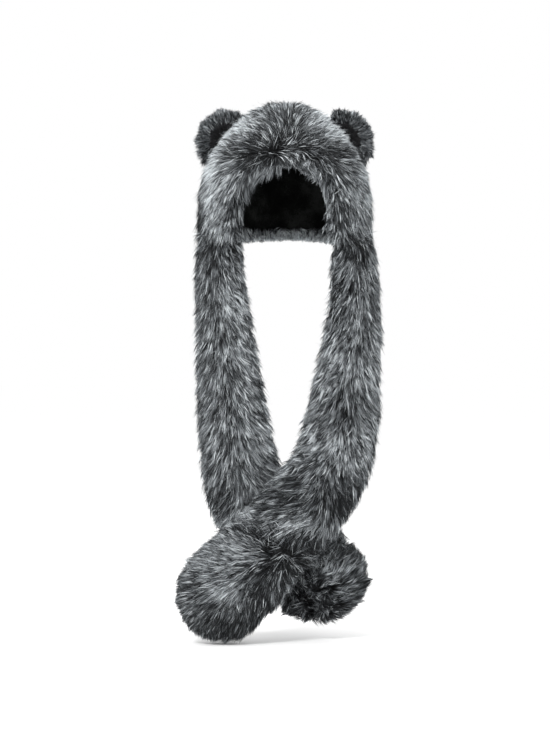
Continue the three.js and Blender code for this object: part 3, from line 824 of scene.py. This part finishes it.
def hem_roll(rng):
    """The pile that is turned in at the back of the hem and covers the lining's edge."""
    points, normals, triangles = arrays_of(remeshed(["hood_lining"], voxel=3 * MM, rounds=2))

    def weigh(p, n):
        inward = -(n * unit(p * (1, 1, 0))).sum(1)
        return (inward > 0.55) * (p[:, 1] > 10 * MM) * (p[:, 2] < HEM_ROLL_TOP_Z)

    tree = skin_tree(points, triangles)
    roots, facing = scatter(points, normals, triangles, HEM_STRANDS, weigh, rng)
    for i in range(MIDDLE_HEM_STRANDS):
        x = rng.uniform(-MIDDLE_HEM_HALF, MIDDLE_HEM_HALF) * MM
        z = HEM_ROLL_TOP_Z - rng.uniform(0, MIDDLE_HEM_HIGH) * MM
        wall = tree.ray_cast(Vector((MIDDLE_HEM_SIDE, 0.02, z)), Vector((0.0, 1.0, 0.0)))[0]
        roots[i] = (x, wall[1] if wall else roots[:, 1].max(), z)
        facing[i] = (0.0, -1.0, 0.0)
    # Painted shade: the turned-in pile is darker at its top, in the shade inside the hood.
    pale = HEM_PALE + HEM_PAINTED_SHADE_STEP * smoothstep(-roots[:, 2], 180 * MM, 200 * MM)
    style = dict(HEM_STYLE, pale=pale, shade=2 * mottled(roots, PATTERN["hem"]))
    flow = -UP + rng.normal(0.0, 0.35, roots.shape)
    grown = strands(roots, facing, flow, style, tree, rng)
    ends = grown[0].reshape(len(roots), -1, 3)
    down = ends[:, 0, 2] - ends[:, -1, 2]
    placed = shortened(grown[0], smoothstep(down, 2 * MM, 7 * MM) * 0.95 + 0.05)
    return trimmed(placed, len(roots)), *grown[1:]


# How much darker the back half is where it shows past the front's sides, and where that is.
REAR_DARKER = {"right": 0.32, "left": 0.16}
REAR_X = (112 * MM, 134 * MM)


def rear_shade(points):
    """The shade of the back half's sides, lighter again further back and nought on the crown."""
    behind = smoothstep(points[:, 1], -80 * MM, -10 * MM)
    behind = behind * (1 - 0.4 * smoothstep(points[:, 1], 10 * MM, 100 * MM))
    low = smoothstep(-points[:, 2], 65 * MM, 140 * MM)
    right = smoothstep(-points[:, 0], *REAR_X)
    left = smoothstep(points[:, 0], *REAR_X)
    return -(REAR_DARKER["right"] * right + REAR_DARKER["left"] * left) * behind * low


def strayed(px, py, by, rng):
    """A pixel moved by chance, across and down."""
    return px + rng.normal(*by[0]), py + rng.normal(*by[1])


def bang_tufts(tree, rng):
    """Pointed tufts from the rim above the face, each drawn to its own tip."""
    roots, normals, elbows, tips, pale = [], [], [], [], []
    for tuft in BANGS + BANGS:
        tip_x, tip_y = strayed(tuft["x"], tuft["y"], BANG_TUFT_SCATTER, rng)
        way = np.array((tip_x - BROW_PIXEL[0], (tip_y - BROW_PIXEL[1]) * BANG_STEEPER))
        way = way / np.hypot(*way)
        for _ in range(BANG_STRANDS):
            back = BANG_LONG * rng.uniform(*BANG_LONG_RANGE)
            px, py = strayed(tip_x - way[0] * back, tip_y - way[1] * back, BANG_ROOT_SCATTER, rng)
            root, normal, _, _ = tree.find_nearest(Vector(pixel_point(px, py, BANG_Y)))
            root, normal = np.array(root), np.array(normal)
            tip = pixel_point(*strayed(tip_x, tip_y, BANG_TIP_SCATTER, rng), root[1] - BANG_AHEAD)
            roots.append(root)
            normals.append(normal)
            tips.append(tip)
            elbows.append(root * (1 - ELBOW_SHARE) + tip * ELBOW_SHARE + normal * BANG_LIFT)
            dark = BANG_DARK_DROP * (rng.random() < BANG_DARK_SHARE)
            pale.append(BANG_PALE + tuft["paler"] - dark + rng.normal(0.0, BANG_PALE_SPREAD))
    arrays = [np.array(a) for a in (roots, elbows, tips, normals, pale)]
    return strips(*arrays, HOOD_STYLE, rng)


# The hood's two pieces, and how many strands and fine hairs each has.
HOOD_HALVES = [
    dict(name="hood_fur_front", strands=54000, hairs=9000, back=False),
    dict(name="hood_fur_back", strands=37000, hairs=5000, back=True),
]
HOOD_DEPTH = 5.5 * MM
BACKING_SHARE = 0.35


def hood_fur(material):
    """The hood's outside, as a front and a back piece with one pile."""
    rng = np.random.default_rng(SEED)
    shell = remeshed(["hood_fur"], voxel=6 * MM, rounds=14)
    points, normals, _ = arrays_of(shell)
    depth = HOOD_DEPTH * smoothstep(facing_out(points, normals), -0.5, 0.1)
    skin, out, triangles = sunk(shell, depth, share=0.6)
    skin = hem_raised(skin)
    surface = (skin, out, triangles)
    tree = skin_tree(skin, triangles)
    pieces = []
    for half in HOOD_HALVES:
        back = half["back"]

        def weigh(p, n, back=back):
            return hood_weight(p, n) * ((p[:, 1] > 0.0) == back)

        grown = []
        for layer, count in ((HOOD_STYLE, half["strands"]), ({**HOOD_STYLE, **HAIRS}, half["hairs"])):
            roots, facing = scatter(*surface, count, weigh, rng)
            style = dict(layer)
            # The front's patches paint shade and highlight into the pile along with its tone.
            style["shade"] = patch_tone_and_painted_light(roots) * (not back) + rear_shade(roots)
            style["shade"] += mottled(roots, PATTERN["hood"])
            style["brighter"] = at_brow(roots) * (not back)
            style["length"] = layer["length"] * (1 + LONG_PILE_MORE * over_bangs(roots))
            flow = hood_flow(roots, facing, rng)
            lengths = strands(roots, facing, flow, style, tree, rng)
            grown.append((trimmed(lengths[0], count), *lengths[1:]))
        if back:
            grown.append(hem_roll(rng))
        else:
            grown.append(bang_tufts(tree, rng))
            grown.append(loose_strands(surface, tree, OVERHANG_STYLE, below_sides, rng))
            grown.append(loose_strands(surface, tree, FRINGE_STYLE, along_rim, rng))
        mine = triangles[(skin[triangles].mean(1)[:, 1] > 0.0) == back]
        pieces.append(fur_piece(half["name"], thinned(skin, mine, BACKING_SHARE), grown, material))
    return pieces


# The scarf arms and paws

# An arm's middle line is read from its node in slices, this far from its ends.
ARM_STEPS = 22
ARM_SLICE = 16 * MM
ARM_TOP_LEFT, ARM_END_LEFT = 12 * MM, 45 * MM

# How strongly the pile leans off the middle line of an arm and a paw, and from where it does so fully.
ARM_LEAN, ARM_LEAN_FROM = 1.05, 34 * MM
PAW_LEAN, PAW_LEAN_FROM = 0.6, 45 * MM


def arm_line(arm):
    """The middle line of an arm, from the frame: its places at a row of heights."""
    points, _, _ = node_arrays(arm)
    heights = np.linspace(points[:, 2].max() - ARM_TOP_LEFT, points[:, 2].min() + ARM_END_LEFT, ARM_STEPS)
    slices = [points[np.abs(points[:, 2] - z) < ARM_SLICE] for z in heights]
    middles = np.array([(near.min(0) + near.max(0)) / 2 for near in slices])
    middles[:, 2] = heights
    return middles


def leaning(way, off_line, heading, lean, full_from, normals):
    """A way over the skin with the pile leaning away from a line that runs along heading."""
    aside = off_line - heading * dot(off_line, heading)
    reach = np.linalg.norm(aside, axis=1, keepdims=True)
    return along_surface(unit(way) + lean * aside / np.maximum(reach, full_from), normals)


def arm_flow(line):
    """Down an arm, and away from its middle line on both sides."""
    headings = unit(np.gradient(line, axis=0))

    def beside(points, values):
        return np.stack([np.interp(-points[:, 2], -line[:, 2], values[:, k]) for k in range(3)], axis=1)

    def flow(points, normals):
        heading = beside(points, headings)
        return leaning(heading, points - beside(points, line), heading, ARM_LEAN, ARM_LEAN_FROM, normals)

    return flow


def paw_flow(whorl, heading):
    """Out from the whorl where the paw's pile starts, and away from the paw's middle line."""
    def flow(points, normals):
        return leaning(points - whorl, points - whorl, heading, PAW_LEAN, PAW_LEAN_FROM, normals)

    return flow


SCARF_STYLE = dict(
    HOOD_STYLE, lift=(37, 10), droop=0.04, width=1.0 * MM, gather=0.5, tuft_turn=0.2, strand_turn=0.11,
    tuft_pale=0.13, strand_pale=0.13, dark_share=0.46, dark_drop=0.48, hug=HUG, pale=0.455,
)
PAW_STYLE = dict(SCARF_STYLE, length=28 * MM, lift=(40, 11), dark_drop=0.52, tuft_of=5)

# Where the skin under the pile lies deeper or shallower, by pixels as above.
DEEPER_COLUMNS = ("x", "y", "wide", "high", "deeper")
DEEPER = {
    "left": table(DEEPER_COLUMNS, [
        (350, 536, 13, 9, 16 * MM),
        (268, 622, 10, 10, 12 * MM),
        (288, 472, 8, 8, 6 * MM),
    ]),
    "right": table(DEEPER_COLUMNS, [
        (352, 538, 13, 9, 16 * MM),
        (288, 614, 14, 10, -11 * MM),
        (372, 590, 10, 16, -5 * MM),
    ]),
}


def deeper(points, side):
    """How much deeper the skin lies at each point of one side's arm and paw."""
    return sum(place["deeper"] * spot(points, place) for place in DEEPER[side])


# Each side's whorl, where its paw's pile starts, the edge between arm and paw, and their strands.
# Round the whorl the pile is tangled and brighter, and on the back paw upright, by degrees, and short.
SIDES = {
    "left": dict(
        seed=1, whorl=pixel_point(284, 551, -0.12),
        edge=(pixel_point(240, 513), pixel_point(300, 536)), strands=(50000, 32000),
        swirl=12 * MM, tangle=2.8, reach=34 * MM, brighter=1.3, upright=None,
    ),
    "right": dict(
        seed=2, whorl=pixel_point(308, 600, -0.06),
        edge=(pixel_point(330, 545), pixel_point(290, 585)), strands=(44000, 27000),
        swirl=9 * MM, tangle=7.0, reach=46 * MM, brighter=0.8, upright=(62, 40),
    ),
}
SWIRL_EVERYWHERE = 0.35
WHORL_SHORTER = 0.42
STRANDS_TO_A_HAIR = 7
SCARF_DEPTH = 6.5 * MM
EDGE_BLEND = 6 * MM
FRONT_THICKER = 0.7


def nearest_node(points, nodes):
    """Which of some nodes each point lies nearest to."""
    far = []
    for node in nodes:
        p, _, t = node_arrays(node)
        tree = skin_tree(p, t)
        far.append([tree.find_nearest(Vector(q))[3] for q in points])
    return np.argmin(np.array(far), axis=0)


def scarf_fur(side, form, material):
    """An arm and its paw, as two pieces with one pile."""
    rng = np.random.default_rng(SEED + form["seed"])
    arm, paw = f"scarf_{side}", f"paw_{side}"
    body = remeshed([arm, paw], voxel=6 * MM, rounds=10)
    points, _, _ = arrays_of(body)
    skin, out, triangles = sunk(body, SCARF_DEPTH + deeper(points, side), share=0.34)
    tree = skin_tree(skin, triangles)
    line = arm_line(arm)
    paw_points, _, _ = node_arrays(paw)
    heading = unit(paw_points.mean(0) - line[-1])
    whorl, edge = form["whorl"], form["edge"]
    down_arm, over_paw = arm_flow(line), paw_flow(whorl, heading)
    ahead = unit(np.cross(edge[1] - edge[0], (0.0, 1.0, 0.0)))
    ahead = ahead * np.sign(ahead @ heading)
    owner = nearest_node(skin[triangles].mean(1), [arm, paw])
    pieces = []
    styles = (SCARF_STYLE, PAW_STYLE)
    for k, (node, count, plain) in enumerate(zip((arm, paw), form["strands"], styles)):
        def weigh(p, n, k=k):
            return (owner == k) * (1.0 + FRONT_THICKER * facing_front(n))

        grown = []
        for layer, number in ((plain, count), ({**plain, **HAIRS}, count // STRANDS_TO_A_HAIR)):
            roots, facing = scatter(skin, out, triangles, number, weigh, rng)
            turn = smoothstep((roots - edge[0]) @ ahead, -EDGE_BLEND, EDGE_BLEND)[:, None]
            flow = unit(down_arm(roots, facing) * (1 - turn) + over_paw(roots, facing) * turn)
            if side == "left":
                flow = combed(roots, flow, facing)
            near = np.exp(-(((roots - whorl) ** 2).sum(1)) / form["reach"] ** 2)
            force = SWIRL_EVERYWHERE + form["tangle"] * near[:, None]
            flow = flow + swirl(roots, form["swirl"], PATTERN["tangle"]) * force
            style = dict(layer)
            if form["upright"]:
                lifts = zip(layer["lift"], form["upright"])
                style["lift"] = [low + (high - low) * near for low, high in lifts]
                style["length"] = layer["length"] * (1 - WHORL_SHORTER * near)
            front = facing_front(facing, -0.2, 0.3)
            style["brighter"] = form["brighter"] * near * front
            # The front's patches paint shade and highlight into the pile along with its tone.
            style["shade"] = patch_tone_and_painted_light(roots) * front + mottled(roots, PATTERN["scarf"] + form["seed"])
            grown.append(strands(roots, facing, flow, style, tree, rng))
        mine = triangles[owner == k]
        pieces.append(fur_piece(f"{node}_fur", thinned(skin, mine, BACKING_SHARE), grown, material))
    return pieces


# The ears

EAR_STYLE = dict(
    SCARF_STYLE, length=18 * MM, lift=(50, 26), droop=0.0, gather=0.42, tuft_of=5, strand_turn=0.15,
    tuft_pale=0.12, strand_pale=0.1, dark_share=0.4, dark_drop=0.3, pale=0.26,
)
PAD_STYLE = dict(
    EAR_STYLE, length=8 * MM, lift=(60, 50), width=0.8 * MM, gather=0.25, tuft_of=8, tuft_turn=0.25,
    strand_turn=0.25, tuft_pale=0.15, strand_pale=0.15, dark_share=0.0, dark_drop=0.0, pale=0.4,
)
EAR_SEED, PAD_SEED = 4, 6
EAR_STRANDS, EAR_HAIRS, PAD_STRANDS = 10000, 4000, 5000
EAR_DEPTH, PAD_DEPTH = 4.5 * MM, 1.0 * MM

# The height in the hood that the ears point away from.
EARS_FROM_Z = -0.12


def ear_skin(node, voxel, rounds, depth):
    """A node of the ear as a smooth skin sunk by a depth, and the node's middle."""
    surface = sunk(remeshed([node], voxel, rounds), depth, share=0.3)
    low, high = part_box(node)
    return surface, np.array((low + high) / 2)


def ear_fur(side, seed, material):
    """The cup of an ear. Its pile stands away from its middle, and is longer and hangs at the bottom."""
    rng = np.random.default_rng(SEED + EAR_SEED + seed)
    node = f"ear_{side}"
    (skin, out, triangles), middle = ear_skin(node, 3 * MM, 6, EAR_DEPTH)
    away = unit(middle - np.array((0.0, middle[1], EARS_FROM_Z)))

    def weigh(p, n):
        return 1.0 - 0.6 * smoothstep(-(n @ away), 0.2, 0.8)

    grown = []
    tree = skin_tree(skin, triangles)
    for layer, count in ((EAR_STYLE, EAR_STRANDS), ({**EAR_STYLE, **HAIRS}, EAR_HAIRS)):
        roots, facing = scatter(skin, out, triangles, count, weigh, rng)
        low = smoothstep(middle[2] - roots[:, 2], 4 * MM, 30 * MM)
        flow = along_surface(unit(roots - middle) + 0.5 * away - UP * 0.8 * low[:, None], facing)
        style = dict(layer)
        style["length"] = layer["length"] * (1 + 0.5 * low)
        style["shade"] = mottled(roots, PATTERN["ear"])
        grown.append(strands(roots, facing, flow, style, tree, rng))
    return fur_piece(f"{node}_fur", thinned(skin, triangles, 0.3), grown, material)


def ear_pad(side, seed, material):
    """The short dark pile in the front of an ear."""
    rng = np.random.default_rng(SEED + PAD_SEED + seed)
    node = f"ear_inner_{side}"
    (skin, out, triangles), middle = ear_skin(node, 2 * MM, 4, PAD_DEPTH)

    def weigh(p, n):
        return facing_front(n, 0.0, 0.5) + 0.02

    roots, facing = scatter(skin, out, triangles, PAD_STRANDS, weigh, rng)
    flow = along_surface(roots - middle + np.array((0.0, 0.0, 0.006)), facing)
    style = {**PAD_STYLE, "shade": np.zeros(len(roots))}
    grown = [strands(roots, facing, flow, style, skin_tree(skin, triangles), rng)]
    return fur_piece(f"{node}_pile", thinned(skin, triangles, 0.5), grown, material)


# The lining

# Its upright folds and its broad swell, with their depths in mm.
FOLDS, FOLDS_WANDER, FOLD_DEEP, FOLD_CLOUD = 9, 3, 1.3, 80 * MM
SWELL_DEEP, SWELL_CLOUD = 5, 50 * MM


def lining(material):
    """The black inner shell, smooth, with soft upright folds that deepen towards the neck."""
    shell = remeshed(["hood_lining"], voxel=1.6 * MM, rounds=3)
    points, _, _ = arrays_of(shell)
    angle = np.arctan2(points[:, 0], points[:, 1])
    low = smoothstep(-points[:, 2], 0.02, 0.18)
    wander = FOLDS_WANDER * noise(points, FOLD_CLOUD, PATTERN["folds"])
    folds = np.sin(angle * FOLDS + wander) * FOLD_DEEP * MM
    swell = (noise(points, SWELL_CLOUD, PATTERN["swell"]) - 0.5) * SWELL_DEEP * MM
    out = from_dome_axis(points)
    move = -(np.abs(folds) * low + np.abs(swell))
    placed = hem_raised(points + out * move[:, None])
    shell.vertices.foreach_set("co", placed.astype(np.float32).ravel())
    shell.update()
    shell.polygons.foreach_set("use_smooth", np.ones(len(shell.polygons), bool))
    shell.materials.clear()
    shell.materials.append(material)
    obj = added("lining_shell", shell)
    fewer = obj.modifiers.new("fewer", "DECIMATE")
    fewer.ratio = 0.15
    return obj


# The studio

WHITE = (1.0, 1.0, 1.0, 1.0)


def studio():
    """A plain white floor, wide enough to reach the horizon, under the lowest fur."""
    half = 40.0
    z = CAD_BOX[0][2] - 4.5 * MM
    mesh = bpy.data.meshes.new("floor")
    corners = [(-half, -half, z), (half, -half, z), (half, half, z), (-half, half, z)]
    mesh.from_pydata(corners, [], [(0, 1, 2, 3)])
    material, _, _, shader = node_material("floor_white")
    put(shader, {"Base Color": WHITE, "Roughness": 1.0, "Specular IOR Level": 0.0})
    mesh.materials.append(material)
    obj = added("floor", mesh)


def area_light(name, place, aim, size, watts):
    data = bpy.data.lights.new(name, "AREA")
    data.shape = "DISK"
    data.size = size
    data.energy = watts
    obj = added(name, data)
    obj.location = place
    obj.rotation_euler = (Vector(aim) - Vector(place)).to_track_quat("-Z", "Y").to_euler()


def lights():
    """A soft key from the left, a weak fill, a top light and a white surrounding."""
    area_light("key", place=(-1.3, -2.2, 1.5), aim=(0.0, 0.0, -0.3), size=0.9, watts=62)
    area_light("fill", place=(1.9, -2.2, 0.2), aim=(0.0, 0.0, -0.5), size=1.6, watts=14)
    area_light("top", place=(0.0, 0.2, 2.2), aim=(0.0, 0.0, -0.4), size=1.2, watts=26)
    world = bpy.data.worlds.new("studio")
    world.use_nodes = True
    put(world.node_tree.nodes["Background"], {"Color": WHITE, "Strength": 1.0})
    bpy.context.scene.world = world
    bpy.context.scene.view_settings.view_transform = "Standard"


def camera():
    """Level, straight on, far enough back that the hood and the paws keep their proportions."""
    distance = 3.6
    middle = pixel_point(PHOTO_WIDE / 2, PHOTO_HIGH / 2)
    plane_y = -0.07
    data = bpy.data.cameras.new("camera")
    data.sensor_fit = "VERTICAL"
    data.sensor_height = 24.0
    data.lens = data.sensor_height * distance / (PHOTO_HIGH * PIXEL)
    data.clip_end = 200.0
    obj = added("camera", data)
    obj.location = (middle[0], plane_y - distance, middle[2])
    obj.rotation_euler = (math.pi / 2, 0.0, 0.0)
    bpy.context.scene.camera = obj


def dress(piece, slot, *nodes):
    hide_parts(*nodes)
    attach(piece, "root")


camera()
lights()
studio()
for piece in hood_fur(FUR):
    dress(piece, "fur", "hood_fur")
for side, form in SIDES.items():
    arm_piece, paw_piece = scarf_fur(side, form, FUR)
    dress(arm_piece, "fur", f"scarf_{side}")
    dress(paw_piece, "fur", f"paw_{side}")
    ear = ear_fur(side, form["seed"], FUR)
    pad = ear_pad(side, form["seed"], DARK_PILE)
    dress(ear, "fur", f"ear_{side}")
    dress(pad, "dark_pile", f"ear_inner_{side}")
inner = lining(lining_material())
dress(inner, "lining", "hood_lining")
